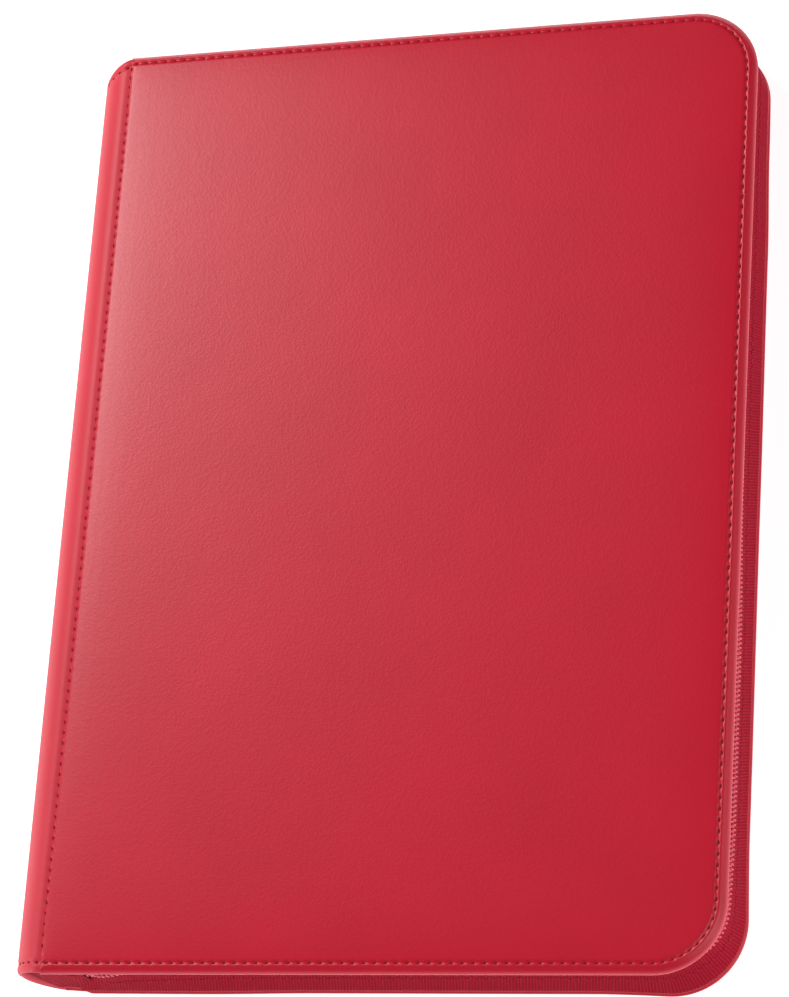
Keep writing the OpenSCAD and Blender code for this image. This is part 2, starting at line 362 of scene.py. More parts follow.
def pocket_film(name):
    """Clear film over a black backing: black with a glossy coat, hazy along the welds where tint is 1."""
    film = Surface(name, Roughness=0.4, Coat_Weight=1.0, Coat_Roughness=0.08)
    haze = film.noise(14.0, 3.0)
    base = film.mix(film.math("MULTIPLY", haze, 0.25), linear(20, 20, 22), linear(58, 58, 62))
    film.drive("Base Color", film.mix(film.math("MULTIPLY", film.tint(), 0.55), base, linear(92, 92, 98)))
    film.drive("Roughness", film.ramp(haze, 0.3, 0.5))
    film.bump((film.noise(22.0, 2.0), 0.25), (film.noise(1.2, 2.0), 0.02))
    return film.material


def metal(name, colour, rough):
    """Plated metal with fine tumbling scratches."""
    plated = Surface(name, Metallic=1.0, Roughness=rough)
    marks = plated.noise(0.6, 4.0, 0.7)
    plated.drive("Base Color", plated.mix(marks, colour, tuple(c * 0.8 for c in colour[:3]) + (1.0,)))
    plated.drive("Roughness", plated.ramp(marks, rough - 0.06, rough + 0.1))
    plated.bump((marks, 0.01))
    return plated.material


def greyboard(name):
    """Grey board with paper fibres."""
    board = Surface(name, Roughness=0.9)
    fibres = board.noise(1.5, 5.0, 0.7)
    board.drive("Base Color", board.mix(fibres, linear(128, 112, 94), linear(158, 142, 122)))
    board.bump((fibres, 0.05))
    return board.material


RED = (0.5, 0.0075, 0.025, 1.0)
SPINE_RED = (0.55, 0.013, 0.032, 1.0)
# lighter red painted on the covers' and spine's rims as a highlight
RIM_HIGHLIGHT_RED = (0.8, 0.11, 0.15, 1.0)
COVER_LEATHER = leather("cover_leather", RED, RIM_HIGHLIGHT_RED, 0.31, 0.36)
SPINE_LEATHER = leather("spine_leather", SPINE_RED, RIM_HIGHLIGHT_RED, 0.36, 0.5)
GUSSET_CLOTH = ribbed_cloth("gusset_grosgrain", linear(140, 8, 30), linear(194, 22, 56), 1.08, 0.8)
TAPE_CLOTH = ribbed_cloth("zip_tape_cloth", linear(150, 14, 38), linear(206, 40, 70), 0.7, 0.5)
COIL_NYLON = nylon("coil_nylon", linear(196, 32, 58), linear(218, 60, 84))
DARK_THREAD = twisted_thread("dark_thread", linear(110, 16, 26), linear(150, 30, 42))
LIGHT_THREAD = twisted_thread("light_thread", linear(172, 24, 50), linear(200, 42, 68))
LINING_CLOTH = woven("lining_cloth", linear(22, 22, 24), linear(46, 46, 50), 0.6)
FILM = pocket_film("pocket_film")
NICKEL = metal("nickel", linear(196, 196, 200), 0.24)
BOARD = greyboard("greyboard")


# ---------------------------------------------------------------- padded covers

FRONT_BORDER = THICK + 0.25
FRONT_CROWN = 0.95
BACK_BORDER = THICK - 0.45
BACK_CROWN = 0.44
GROOVE = 0.5
RIM_WIDE = 2.9
FRONT_RIM = 2.4
BACK_RIM = 1.2


def inflated_crown():
    """Cloth simulation of the skin between its stitches: the foam swells a sheet that the seam holds down.

    Returns a function of x and y that gives 0 at the seam and 1 over the middle of the panel.
    """
    x = np.linspace(STITCH_X, RIGHT - STITCH_INSET, 60)
    y = np.linspace(-(HALF_H - STITCH_INSET), HALF_H - STITCH_INSET, 86)
    gx, gy = np.meshgrid(x, y, indexing="ij")
    r = CORNER_R - STITCH_INSET
    over_x = np.maximum(gx - (x[-1] - r), 0)
    over_y = np.maximum(np.abs(gy) - (y[-1] - r), 0)
    inside = np.minimum.reduce([gx - x[0], x[-1] - gx, y[-1] - np.abs(gy),
                                np.where((over_x > 0) & (over_y > 0), r - np.hypot(over_x, over_y), 1e3)])
    mesh = bpy.data.meshes.new("crown")
    flat = np.stack([gx, gy, np.full_like(gx, THICK)], -1).reshape(-1, 3)
    mesh.from_pydata((flat * MM).tolist(), [], grid_faces(len(x), len(y)))
    sheet = bpy.data.objects.new("crown", mesh)
    bpy.context.scene.collection.objects.link(sheet)
    seam = sheet.vertex_groups.new(name="seam")
    seam.add(np.flatnonzero(inside.ravel() <= 0.5).tolist(), 1.0, "REPLACE")
    cloth = sheet.modifiers.new("cloth", "CLOTH")
    cloth.settings.vertex_group_mass = "seam"
    cloth.settings.mass = 0.2
    cloth.settings.quality = 6
    cloth.settings.tension_stiffness = 30
    cloth.settings.compression_stiffness = 30
    cloth.settings.shear_stiffness = 10
    cloth.settings.bending_stiffness = 2
    cloth.settings.use_pressure = True
    cloth.settings.uniform_pressure_force = 4.0
    cloth.settings.effector_weights.gravity = 0.0
    cloth.collision_settings.use_collision = False
    scene = bpy.context.scene
    for step in range(1, 21):
        scene.frame_set(step)
    done = sheet.evaluated_get(bpy.context.evaluated_depsgraph_get()).to_mesh()
    moved = np.zeros(len(done.vertices) * 3)
    done.vertices.foreach_get("co", moved)
    lift = np.abs(moved.reshape(-1, 3)[:, 2].reshape(gx.shape) / MM - THICK)
    lift = lift / max(lift.max(), 1e-6)
    bpy.data.objects.remove(sheet)
    scene.frame_set(1)
    crown = 1 - np.exp(-lift / 0.12)
    crown = crown / crown.max()

    def at(px, py):
        u = np.clip((px - x[0]) / (x[1] - x[0]), 0, len(x) - 1.001)
        v = np.clip((py - y[0]) / (y[1] - y[0]), 0, len(y) - 1.001)
        i, j = u.astype(int), v.astype(int)
        fu, fv = u - i, v - j
        return (crown[i, j] * (1 - fu) * (1 - fv) + crown[i + 1, j] * fu * (1 - fv)
                + crown[i, j + 1] * (1 - fu) * fv + crown[i + 1, j + 1] * fu * fv)
    return at


crown_at = inflated_crown()


def pucker(length):
    """Depth of the seam along its length: the thread pulls it down, and it rises between stitches."""
    return 1 - 0.45 * np.cos(2 * math.pi * length / PITCH)


def panel_height(x, y, inset, s, border, crown, rim):
    """Height of the cover's skin. inset is the distance from the outer edge, s the length along it."""
    from_spine = x - STITCH_X
    inside = np.minimum(inset - STITCH_INSET, from_spine)
    z = border + crown * crown_at(x, y) * (inside > 0)
    z = z - GROOVE * np.exp(-((inset - STITCH_INSET) / 0.6) ** 2) * pucker(s)
    z = z - rim * (np.maximum(RIM_WIDE - inset, 0) / RIM_WIDE) ** 1.35
    z = z - 0.7 * GROOVE * np.exp(-(np.maximum(from_spine, 0) / 0.8) ** 2) * pucker(HALF_H - y) * (inset > 2)
    return z - 1.4 * np.maximum(-from_spine, 0)


def edge_columns():
    """Lengths along the edge path where the cover's mesh has a column."""
    near = [-0.9, -0.5, 0, 0.35, 0.7, 1.05, 1.5, 2.1, 2.9]
    first = [k * STEP for k in range(4, int(TOTAL_L / STEP / 2) + 1)]
    half = sorted(near + first + [TOP_L, TOP_L + ARC_L])
    half = [s for i, s in enumerate(half) if i == 0 or s - half[i - 1] > 0.05]
    return np.array(half + [TOTAL_L - s for s in half[::-1] if TOTAL_L - s > half[-1] + 0.05])


# Rows of the cover's mesh: insets over its top, then (inset, drop) round the rim and under it
TOP_INSETS = [CORNER_R, 22, 20, 18, 16, 14, 12.2, 10.6, 9.2, 8, 7, 6.2, 5.6, 5.1, 4.7, 4.35, 4.05, 3.8,
              3.5, 3.2, 2.95, 2.65, 2.3, 1.9, 1.5, 1.1, 0.75, 0.45, 0.2, 0.05]
UNDER_EDGE = [(0.0, 0.15), (0.02, 0.35), (0.12, 0.55), (0.35, 0.7), (0.6, 0.9), (0.72, 1.4), (0.75, 1.9),
              (0.78, 2.45), (1.1, 2.65), (2.2, 2.75), (3.4, 2.75)]


def spread(s):
    """How far the back cover stands out past the front one: the gusset's tension pulls it askew."""
    return smooth_between(s, [(0, 0), (TOP_L, -0.3), (TOP_L + 0.6 * ARC_L, -0.6), (SIDE_S + 20, -0.2),
                              (SIDE_S + 60, 0.5), (MID_S, 0.8), (LOW_S - 30, 1.1),
                              (LOW_S + 0.5 * ARC_L, 2.0), (BOTTOM_S + 25, 0.8), (TOTAL_L - 90, 0.8),
                              (TOTAL_L - 50, 1.2), (TOTAL_L - 9, 1.1), (TOTAL_L - 6, 0.3), (TOTAL_L, 0)])


def cover_skin(border, crown, rim, askew):
    """Points, faces and painted rim highlight (tint) of a cover's skin. border is the height just outside
    the seam.
    """
    s = edge_columns()
    p, n = edge(s)
    verts, tint, along = [], [], []
    for inset in TOP_INSETS:
        x, y = (p - n * inset).T
        z = panel_height(x, y, np.full_like(x, inset), s, border, crown, rim)
        moved = p - n * (inset - askew * spread(s) * (1 - inset / CORNER_R))[:, None]
        verts.append(np.column_stack([moved, z]))
        # painted highlight along the outer edge of the top
        tint.append(np.full(len(s), 0.9 * math.exp(-(inset / 0.6) ** 2)))
    for inset, drop in UNDER_EDGE:
        over_board = np.maximum(spread(s), min(inset, 0.78) - BOARD_INSET + 0.05)
        moved = p - n * (inset - askew * over_board * (1 - inset / CORNER_R))[:, None]
        verts.append(np.column_stack([moved, np.full(len(s), max(border - rim - drop, COVER_Z + 0.02))]))
        # painted highlight round the rounded edge under the rim
        tint.append(np.full(len(s), 0.9 * math.exp(-((drop - 0.15) / 0.4) ** 2)))
    band = np.stack(verts, 1)
    rows = band.shape[1]
    faces = grid_faces(len(s), rows)
    straight_x = p[s <= TOP_L + 0.01, 0]
    side = (s >= TOP_L + ARC_L - 0.01) & (s <= TOP_L + ARC_L + SIDE_L + 0.01)
    side_y, side_s = p[side, 1], s[side]
    gx, gy = np.meshgrid(straight_x, side_y, indexing="ij")
    gz = panel_height(gx, gy, np.full_like(gx, CORNER_R), np.zeros_like(gx), border, crown, rim)
    middle = np.stack([gx, gy, gz], -1).reshape(-1, 3)
    faces += grid_faces(len(straight_x), len(side_y), first=band.shape[0] * rows)
    points = np.concatenate([band.reshape(-1, 3), middle])
    tints = np.concatenate([np.stack(tint, 1).ravel(), np.zeros(len(middle))])
    return points, faces, tints


THREAD = [0.14, 0.28, 0.36, 0.38, 0.36, 0.28, 0.14]
STITCH_HALF = 0.95


def thread_height(border, t):
    """Height of a stitch: it lies in the groove and dips towards its ends, where t is -1 and 1."""
    return border - GROOVE * 1.4 + 0.16 - 0.35 * t ** 4


def seam_stitches(s, border, askew):
    """Thread of the border seam: one short rod for each stitch, sunk at its ends."""
    t = np.linspace(-1, 1, 7)
    along = s[:, None] + t[None, :] * STITCH_HALF
    p, n = edge(along)
    out = askew * spread(along) * (1 - STITCH_INSET / CORNER_R)
    xy = p - n * (STITCH_INSET - out + 0.12 * t[None, :])[..., None]
    z = thread_height(border, t[None, :]) + 0 * along
    centres = np.concatenate([xy, z[..., None]], -1)
    across = np.concatenate([n[:, 3], np.zeros((len(s), 1))], -1)
    up = np.tile([0.0, 0.0, 1.0], (len(s), 1))
    return rods(centres, THREAD, across, up)


def line_stitches(y, border):
    """Thread of the seam between the cover and the spine."""
    t = np.linspace(-1, 1, 7)
    ys = y[:, None] - t[None, :] * STITCH_HALF
    xs = STITCH_X + 0.12 * t[None, :] + 0 * ys
    z = thread_height(border, t[None, :]) + 0 * ys
    centres = np.stack([xs, ys, z], -1)
    across = np.tile([1.0, 0.0, 0.0], (len(y), 1))
    up = np.tile([0.0, 0.0, 1.0], (len(y), 1))
    return rods(centres, THREAD, across, up)


def cover(side, body, flip, border, crown, rim, askew):
    """One padded cover: its skin, in place of the CAD skin and foam pad, the border seam, the seam at the
    spine and the lining.
    """
    points, faces, tint = cover_skin(border, crown, rim, askew)
    skin = make(f"{side}_cover_leather", flip(points), faces, COVER_LEATHER, tint=tint, weld=True)
    place(skin, body, [f"{side}_cover_skin", f"{side}_foam_pad"])
    centres = (np.arange(STITCHES) + 0.5) * PITCH
    points, faces = seam_stitches(centres, border, askew)
    place(make(f"{side}_border_stitches", flip(points), faces, DARK_THREAD), body)
    count = int((HALF_H - STITCH_INSET) / PITCH)
    y = HALF_H - (np.arange(1, 2 * count) + 0.5) * PITCH
    y = y[np.abs(y) < HALF_H - STITCH_INSET - 0.8]
    points, faces = line_stitches(y, border)
    place(make(f"{side}_spine_seam_stitches", flip(points), faces, DARK_THREAD), body)
    s = np.linspace(3.0, TOTAL_L - 3.0, 400)
    p, n = edge(s)
    outline = p - n * 2.6
    low = np.column_stack([outline, np.full(len(s), COVER_Z - 0.05)])
    high = np.column_stack([outline, np.full(len(s), COVER_Z + 0.35)])
    count = len(s)
    walls = [[i, (i + 1) % count, (i + 1) % count + count, i + count] for i in range(count)]
    faces = [list(range(count)), list(range(count, 2 * count))] + walls
    points = flip(np.concatenate([low, high]))
    lining = make(f"{side}_lining_cloth", points, faces, LINING_CLOTH, smooth=False)
    place(lining, body, [f"{side}_lining"])


# ---------------------------------------------------------------- spine

SEAM_ANGLE = math.acos((STITCH_X - SPINE_X) / SPINE_R)
SPINE_ARC = (math.pi - SEAM_ANGLE) * SPINE_R
TOP_CUT = 7.4
BOTTOM_CUT = 1.6


def spine_end(u, top):
    """Distance of the spine's end from the middle: it draws in towards the spine's back, most at the top."""
    share = np.clip(u / SPINE_ARC, 0, 1)
    if top:
        return HALF_H - 0.6 - TOP_CUT * share ** 0.95
    return HALF_H - 0.2 - BOTTOM_CUT * share


# (inset, depth) from the spine's outer face, over its rolled end and back inside
END_ROLL = [(7.0, 0), (6.0, 0), (5.2, 0), (4.6, 0), (4.2, 0), (3.85, 0), (3.5, 0), (3.15, 0), (2.8, 0),
            (2.3, 0), (1.7, 0.03), (1.1, 0.12), (0.6, 0.32), (0.25, 0.55), (0.05, 0.8), (0.05, 1.0),
            (0.25, 1.25), (0.7, 1.42), (1.5, 1.55), (4.0, 1.6), (9.0, 1.6)]


def spine_point(u, y, depth):
    """A point on the spine's upper half, at a length u from the seam and a depth below the outer arc."""
    angle = SEAM_ANGLE + u / SPINE_R
    r = SPINE_R - depth
    return np.stack([SPINE_X + r * np.cos(angle), y + 0 * u, SPINE_R + r * np.sin(angle)], -1)


def spine_depth(u, y):
    """How far the spine's skin lies inside its arc.

    It dips at the seam and is pressed in towards the bottom.
    """
    seam = 0.55 * np.exp(-(np.maximum(u, 0) / 1.9) ** 2) * (0.85 + 0.15 * pucker(HALF_H - y))
    pressed = smooth_between(u, [(0, 0), (13, 1)]) * (1.05 - 0.35 * y / HALF_H)
    return seam + pressed + 1.4 * np.maximum(-u, 0)


def spine_skin():
    """Points, faces and painted highlight (tint) along the rolled ends of the spine's upper half."""
    near_seam = [-0.9, -0.5, 0, 0.4, 0.8, 1.2, 1.7, 2.2, 2.8, 3.5, 4.3, 5.2]
    u = np.array(near_seam + list(np.linspace(6.1, SPINE_ARC, 18)))
    rows, tint = [], []
    for side in (1, -1):
        made, shade = [], []
        end = spine_end(u, side > 0)
        for inset, depth in END_ROLL[::-1]:
            y = side * (end - inset)
            groove = 0.45 * math.exp(-((inset - STITCH_INSET) / 0.6) ** 2) * pucker(u) * (u > -0.1)
            d = depth + spine_depth(u, y) + groove * (depth < 0.5)
            made.append(spine_point(u, y, d))
            # painted highlight along the spine's rolled ends, strongest where the skin turns back inside
            painted_rim_light = math.exp(-((depth - 1.5) / 0.8) ** 2) if inset < 3 or depth < 1 else 0.0
            shade.append(np.full(len(u), painted_rim_light))
        rows.append(made)
        tint.append(shade)
    middle = []
    high, low = spine_end(u, True) - END_ROLL[0][0], END_ROLL[0][0] - spine_end(u, False)
    for share in np.linspace(0, 1, int(2 * HALF_H / STEP))[1:-1]:
        y = high * (1 - share) + low * share
        middle.append(spine_point(u, y, spine_depth(u, y)))
    grid = rows[0] + middle + rows[1][::-1]
    shade = tint[0] + [np.zeros(len(u))] * len(middle) + tint[1][::-1]
    verts = np.stack(grid, 1)
    return verts.reshape(-1, 3), grid_faces(len(u), len(grid)), np.stack(shade, 1).ravel()


def spine_end_stitches():
    """Thread across the spine's two ends, which goes on from the cover's border seam."""
    count = int(SPINE_ARC / PITCH)
    u0 = (np.arange(count + 1) + 0.5) * PITCH
    u0 = u0[u0 + 1.1 < SPINE_ARC]
    t = np.linspace(-1, 1, 7)
    points, faces = [], []
    for side in (1, -1):
        u = u0[:, None] + t[None, :] * 0.8 * STITCH_HALF
        y = side * (spine_end(u, side > 0) - STITCH_INSET)
        dip = spine_depth(u, y) + 0.45 * 1.4 - 0.16 + 0.3 * t[None, :] ** 4
        centres = spine_point(u, y, dip)
        out = spine_point(u0, 0 * u0, 0 * u0) - spine_point(u0, 0 * u0, 0 * u0 + 1)
        across = np.tile([0.0, 1.0, 0.0], (len(u0), 1))
        made, quads = rods(centres, THREAD, across, out)
        faces += [[i + sum(len(q) for q in points) for i in f] for f in quads]
        points.append(made)
    return np.concatenate(points), faces


def gutter_lining():
    """The lining from the cover's board edge round the inside of the spine, upper half."""
    r = SPINE_R - SPINE_WALL - 0.05
    edge_x = SPINE_X + 1.6
    profile = [(edge_x + 3, COVER_Z - 0.12), (edge_x + 1, COVER_Z - 0.12), (edge_x - 0.75, COVER_Z + 0.1),
               (edge_x - 0.9, COVER_Z + 1.0)]
    for angle in np.linspace(math.pi / 2 + 0.02, math.pi, 14):
        profile.append((SPINE_X + r * math.cos(angle), SPINE_R + r * math.sin(angle)))
    verts = []
    for x, z in profile:
        u = (math.atan2(z - SPINE_R, x - SPINE_X) - SEAM_ANGLE) * SPINE_R
        low, high = 5.0 - spine_end(u, False), spine_end(u, True) - 5.0
        if x > SPINE_X:
            low, high = 1.7 - HALF_H, HALF_H - 1.7
        verts.append([[x, y, z] for y in np.linspace(low, high, 40)])
    return np.array(verts).reshape(-1, 3), grid_faces(len(profile), 40)


def spine_half(side, flip, body, lining_body):
    """The spine's skin, end stitches and lining on one side of its middle."""
    points, faces, tint = spine_skin()
    skin = make(f"spine_leather_{side}", flip(points), faces, SPINE_LEATHER, tint=tint)
    place(skin, body, ["spine_skin", "spine_foam_pad"])
    points, faces = spine_end_stitches()
    place(make(f"spine_end_stitches_{side}", flip(points), faces, DARK_THREAD), body)
    points, faces = gutter_lining()
    lining = make(f"gutter_lining_{side}", flip(points), faces, LINING_CLOTH)
    place(lining, lining_body, ["spine_lining"])


# ---------------------------------------------------------------- gusset and zip

def chain_inset(s):
    """How far in from the covers' edge the zip's meeting line lies."""
    return smooth_between(s, [(0, CHAIN_INSET), (TOP_L - 15, CHAIN_INSET), (SIDE_S, 2.6), (MID_S - 60, 2.4),
                              (MID_S, 1.7), (MID_S + 70, 0.5), (LOW_S - 25, 0.3), (LOW_S + 8, 1.0),
                              (LOW_S + 28, 3.0), (TOTAL_L - 60, 3.0), (TOTAL_L - 30, 1.8),
                              (TOTAL_L - 20, 0.7), (TOTAL_L - 12, 2.4), (TOTAL_L, 3.0)])


def chain_height(s):
    """How high the zip's meeting line lies."""
    return smooth_between(s, [(0, CHAIN_Z), (TOP_L - 15, CHAIN_Z), (SIDE_S, 23.6), (MID_S, 24.4),
                              (LOW_S, 24.6), (LOW_S + 40, 24.0), (TOTAL_L - 40, 24.2), (TOTAL_L, 23.8)])


def chain_tilt(s):
    """How far the zip leans out at its lower side, in radians."""
    return smooth_between(s, [(0, 0.0), (TOP_L, 0.0), (SIDE_S, 0.1), (MID_S - 60, 0.12), (MID_S + 60, 0.3),
                              (LOW_S, 0.3), (LOW_S + 40, 0.15), (TOTAL_L, 0.1)])


def bulge(s):
    """How far the gusset swells out at its middle: below 0 where the cloth flares towards its foot."""
    return smooth_between(s, [(0, 0.0), (TOP_L, 0.0), (SIDE_S + 30, -0.3), (MID_S, -0.6), (LOW_S, -0.6),
                              (BOTTOM_S, -0.8), (TOTAL_L - 60, -0.5), (TOTAL_L - 15, 0.0)])


GUSSET_FOOT = 4.3
FOOT_INSET = 0.55
THREAD_LIFT = 0.14
ZIGZAG_STEP = 1.6
END_CLOTH_X = ZIP_X - 1.6
GUSSET_RIB = 1.08


def lean(s):
    """How far the ribs run along the edge from the gusset's foot to its top.

    The corners draw the cloth in.
    """
    return smooth_between(s, [(0, 0), (TOP_L, 0), (SIDE_S + 20, 2.5), (MID_S, 6.0), (LOW_S - 20, 5.0),
                              (LOW_S + ARC_L / 2, 0), (BOTTOM_S + 20, -4.0), (TOTAL_L, -5.0)])


def closed_strip(rows, along):
    """Points, faces and cloth coordinates of a strip whose rows run round its section."""
    faces = grid_faces(len(rows[0]), len(rows), closed=True)
    return np.stack(rows, 1).reshape(-1, 3), faces, np.stack(along, 1).reshape(-1, 3)


def gusset_row(s, f, high, top_inset, behind):
    """One row of the gusset at a share f of its height, behind its face, and its cloth coordinates."""
    p, n = edge(s + lean(s) * (f - 0.5))
    swell = bulge(s) * math.sin(math.pi * min(f * 0.9, 1)) + spread(s) * (1 - f)
    inset = FOOT_INSET * (1 - f) + top_inset * f ** 1.5 - swell + behind
    z = GUSSET_FOOT + (high - GUSSET_FOOT) * f
    return np.column_stack([p - n * inset[:, None], z]), np.column_stack([s, z, 0 * s])


def gusset_wall(s, high, top_inset):
    """Points of a ribbed strip between the back cover and a height, with its inner side 0.8 mm behind."""
    ribs = 0.06 * np.cos(2 * math.pi * s / GUSSET_RIB)
    rows = []
    for f in (0, 0.04, 0.1, 0.2, 0.32, 0.45, 0.58, 0.7, 0.8, 0.88, 0.94, 0.98, 1.0):
        edge_fold = 0.35 * max(0.0, (f - 0.9) / 0.1) ** 2
        fade = math.sin(math.pi * min(1, f / 0.9 * 0.5 + 0.5))
        rows.append(gusset_row(s, f, high, top_inset, edge_fold - ribs * fade))
    rows += [gusset_row(s, f, high - 0.15, top_inset, 0.8) for f in (1.0, 0.9, 0.5, 0.0)]
    return closed_strip(*zip(*rows))


def tape(s, front):
    """One side of the zip's tape, from the coil to where it is sewn in."""
    p, n = edge(s)
    tilt, inset, z = chain_tilt(s), chain_inset(s), chain_height(s)
    rows, along = [], []
    if front:
        path = [(0.15, 0), (1.4, 0), (2.6, 0)]
        last = [(inset + 0.1, np.minimum(z + 4.1, COVER_Z - 0.3)), (inset + 0.9, COVER_Z - 0.2),
                (2.9 + 0 * s, COVER_Z + 0.15)]
    else:
        path = [(-0.15, 0), (-1.4, 0), (-2.6, 0)]
        last = [(inset + 0.5, z - 3.8), (2.4 + 0 * s, z - 5.5)]
    line = [(inset + a * np.sin(tilt), z + a * np.cos(tilt)) for a, _ in path] + last
    for k, (i, h) in enumerate(line + [(a + 0.45, b) for a, b in line[::-1]]):
        rows.append(np.column_stack([p - n * np.asarray(i)[:, None], h + 0 * s]))
        along.append(np.column_stack([s, h + 0 * s, 0 * s]))
    return closed_strip(rows, along)


TOOTH_PITCH = 1.63


def teeth(s, front):
    """The coil's loops as they show from outside: one rounded, slightly slanted rod for each turn."""
    sign = 1.0 if front else -1.0
    p, n = edge(s)
    tangent = np.column_stack([n[:, 1], -n[:, 0], 0 * s])
    out3 = np.column_stack([n, 0 * s])
    up = np.array([0.0, 0.0, 1.0])
    tilt = chain_tilt(s)[:, None]
    across = -out3 * np.sin(tilt) + up * np.cos(tilt)
    outward = out3 * np.cos(tilt) + up * np.sin(tilt)
    centre = np.column_stack([p - n * chain_inset(s)[:, None], chain_height(s)])
    t = np.array([-0.5, -0.3, 0.1, 0.8, 1.5, 2.0, 2.2]) * sign
    slant = np.array([-0.1, -0.1, -0.05, 0.05, 0.15, 0.25, 0.3]) * sign
    lift = np.array([0.2, 0.36, 0.44, 0.4, 0.38, 0.2, 0.0])
    centres = centre[:, None, :] + across[:, None, :] * t[None, :, None]
    centres = centres + tangent[:, None, :] * slant[None, :, None]
    centres = centres + outward[:, None, :] * lift[None, :, None]
    return rods(centres, [0.25, 0.42, 0.48, 0.46, 0.46, 0.4, 0.2], tangent, outward)


def zigzag(s0, s1):
    """The zigzag thread that runs round the gusset."""
    count = int((s1 - s0) / ZIGZAG_STEP)
    s = s0 + np.arange(count + 1) * ZIGZAG_STEP
    f_low, f_high = 0.5, 0.62
    f = np.where(np.arange(count + 1) % 2 == 0, f_low, f_high)
    p, n = edge(s + lean(s) * (f - 0.5))
    top = gusset_height(s)
    z = GUSSET_FOOT + (top - GUSSET_FOOT) * f
    swell = bulge(s) * np.sin(math.pi * f * 0.9) + spread(s) * (1 - f)
    inset = FOOT_INSET * (1 - f) + gusset_top_inset(s) * f ** 1.5 - swell - THREAD_LIFT
    points = np.column_stack([p - n * inset[:, None], z])
    a, b = points[:-1], points[1:]
    t = np.linspace(0, 1, 4)
    centres = a[:, None, :] * (1 - t)[None, :, None] + b[:, None, :] * t[None, :, None]
    out3 = np.column_stack([n[:-1], 0 * s[:-1]])
    direction = (b - a) / np.linalg.norm(b - a, axis=1, keepdims=True)
    side = np.cross(direction, out3)
    return rods(centres, [0.07, 0.1, 0.1, 0.07], side, out3, sides=5)


def gusset_height(s):
    """Height of the gusset's upper fold."""
    return chain_height(s) - 2.9


def gusset_top_inset(s):
    """How far in the gusset's upper fold lies."""
    return chain_inset(s) + 0.15 - 2.6 * np.sin(chain_tilt(s))


def end_cloth(low_end):
    """The ribbed cloth that closes the end of the spine's hollow, from the gusset's end inwards."""
    stop = node_box("zip_stop_bottom" if low_end else "zip_stop_top")
    guard = HALF_H - np.abs([stop[0][1], stop[1][1]]).max() - 0.2
    if low_end:
        path = [(ZIP_X + 4.0, 0.75), (ZIP_X + 2.0, 0.6), (stop[1][0] + 0.3, guard),
                (stop[0][0] - 0.3, guard), (stop[0][0] - 1.3, 0.7)]
    else:
        path = [(stop[0][0] - 0.3, 1.0), (stop[0][0] - 1.3, 0.8)]
    path = np.array(path + [(SPINE_X + 2.5, 0.8), (SPINE_X - 3.3, 1.2), (SPINE_X - 7.0, 2.4),
                            (SPINE_X - 9.0, 4.0), (SPINE_X - 11.0, 6.6), (SPINE_X - 12.0, 9.5)])
    lengths = np.concatenate([[0], np.cumsum(np.hypot(*np.diff(path, axis=0).T))])
    s = np.arange(0, lengths[-1], GUSSET_RIB / 4)
    inner = SPINE_R - 1.6 - 0.35
    wave = 0.06 * np.cos(2 * math.pi * s / GUSSET_RIB)
    rows, along = [], []
    for thick, shares in ((0.0, np.linspace(-1, 1, 9)), (0.6, np.linspace(1, -1, 9))):
        for share in shares:
            at = np.clip(s - 2.5 * share * low_end, 0, lengths[-1])
            x, inset = np.interp(at, lengths, path[:, 0]), np.interp(at, lengths, path[:, 1])
            beside_cover = COVER_Z - 0.15 - SPINE_R if share > 0 else SPINE_R - GUSSET_FOOT + 0.15
            in_spine = np.sqrt(np.maximum(inner ** 2 - (x - SPINE_X) ** 2, 1))
            z = SPINE_R + np.where(x > SPINE_X, beside_cover, in_spine) * share
            y = HALF_H - inset - thick + wave * (thick == 0)
            rows.append(np.column_stack([x, y, z]))
            along.append(np.column_stack([s, z, 0 * s]))
    return closed_strip(rows, along)


